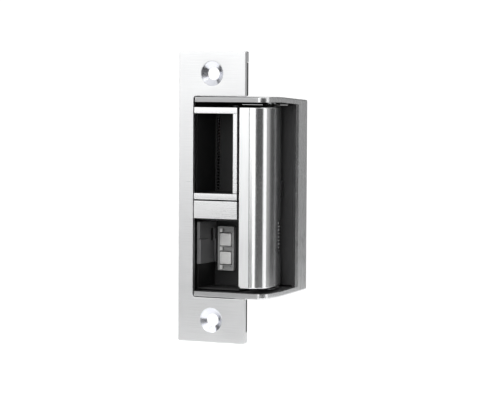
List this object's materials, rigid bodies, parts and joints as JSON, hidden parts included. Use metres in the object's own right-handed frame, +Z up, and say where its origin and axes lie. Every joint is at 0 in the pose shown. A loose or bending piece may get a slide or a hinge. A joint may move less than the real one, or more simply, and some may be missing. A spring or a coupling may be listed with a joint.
{
  "type": "electric door strike",
  "caption": "Electric door strike with a flat faceplate, a swinging keeper on its lip side, a latch pocket over a smaller pocket with monitor buttons, and a solenoid lock inside.",
  "frame": {"origin": "centre of the faceplate's front face, which sits flush with the door jamb's face", "axes": "+X across the faceplate towards the lip which turns the jamb corner, +Y into the jamb, +Z up along the faceplate"},
  "size_m": [0.0413, 0.041, 0.1238],
  "materials": {
    "stainless": "brushed stainless steel",
    "polished": "fine satin stainless steel",
    "zinc": "bright zinc plate",
    "black_plate": "black oxide",
    "black_plastic": "moulded black",
    "dark_steel": "dark zinc plate",
    "iron": "soft iron, lightly plated",
    "copper": "enamelled copper wire",
    "brass": "plain",
    "nylon": "moulded white",
    "clear_nylon": "moulded, milky"
  },
  "bodies": {
    "case": {"faceplate": "stainless", "backing_plate": "black_plate", "case_body": "stainless", "back_cover": "zinc", "partition": "black_plate", "pocket_rim": "polished", "pocket_liner": "black_plastic", "crossbar": "polished", "lower_liner": "black_plastic", "side_plate": "dark_steel", "keeper_pin": "zinc", "thrust_washer_top": "black_plastic", "thrust_washer_bottom": "black_plastic", "keeper_spring": "iron", "switch_carrier": "clear_nylon", "switch_upper": "black_plastic", "switch_lower": "black_plastic", "solenoid_yoke": "zinc", "solenoid_bobbin": "nylon", "solenoid_coil": "copper", "solenoid_core": "iron", "plunger_spring": "iron", "lever_pin": "zinc", "wire_connector": "nylon", "connector_pin_1": "brass", "connector_pin_2": "brass", "rim_screw": "zinc", "crossbar_screw": "zinc", "solenoid_screw_1": "zinc", "solenoid_screw_2": "zinc", "plate_screw_1": "zinc", "back_cover_screw_1": "zinc", "plate_screw_2": "zinc", "back_cover_screw_2": "zinc", "plate_screw_3": "zinc", "back_cover_screw_3": "zinc", "plate_screw_4": "zinc", "back_cover_screw_4": "zinc"},
    "keeper": {"keeper": "stainless", "keeper_tail": "dark_steel", "keeper_lip": "polished", "keeper_lip_pad": "black_plastic", "keeper_lip_screw_1": "zinc", "keeper_lip_screw_2": "zinc"},
    "plunger": {"plunger": "iron", "plunger_pin": "zinc", "plunger_clip": "dark_steel"},
    "lock_lever": {"lock_lever": "dark_steel"},
    "button_upper": {"monitor_button_upper": "nylon"},
    "button_lower": {"monitor_button_lower": "nylon"}
  },
  "joints": [
    {"name": "keeper_hinge", "type": "hinge", "parent": "case", "child": "keeper", "pos_m": [0.017, 0.0225, 0], "axis": [0, 0, 1], "range_deg": [0, 75], "stiffness_Nm_per_rad": 0.02, "springref_deg": -28.65},
    {"name": "plunger_slide", "type": "slide", "parent": "case", "child": "plunger", "axis": [0, 0, 1], "range_m": [0, 0.0035], "stiffness_N_per_m": 120, "springref_m": -0.006, "deforming": ["plunger_spring"]},
    {"name": "lever_hinge", "type": "hinge", "parent": "case", "child": "lock_lever", "pos_m": [0.0032, 0.0291, 0.0065], "axis": [0, 1, 0], "range_deg": [0, 29]},
    {"name": "upper_button_slide", "type": "slide", "parent": "case", "child": "button_upper", "axis": [0, 1, 0], "range_m": [0, 0.002], "stiffness_N_per_m": 250, "springref_m": -0.001},
    {"name": "lower_button_slide", "type": "slide", "parent": "case", "child": "button_lower", "axis": [0, 1, 0], "range_m": [0, 0.002], "stiffness_N_per_m": 250, "springref_m": -0.001}
  ],
  "couplings": [
    {"joint": "lever_hinge", "follows": "plunger_slide", "rad_per_m": 142.86}
  ]
}
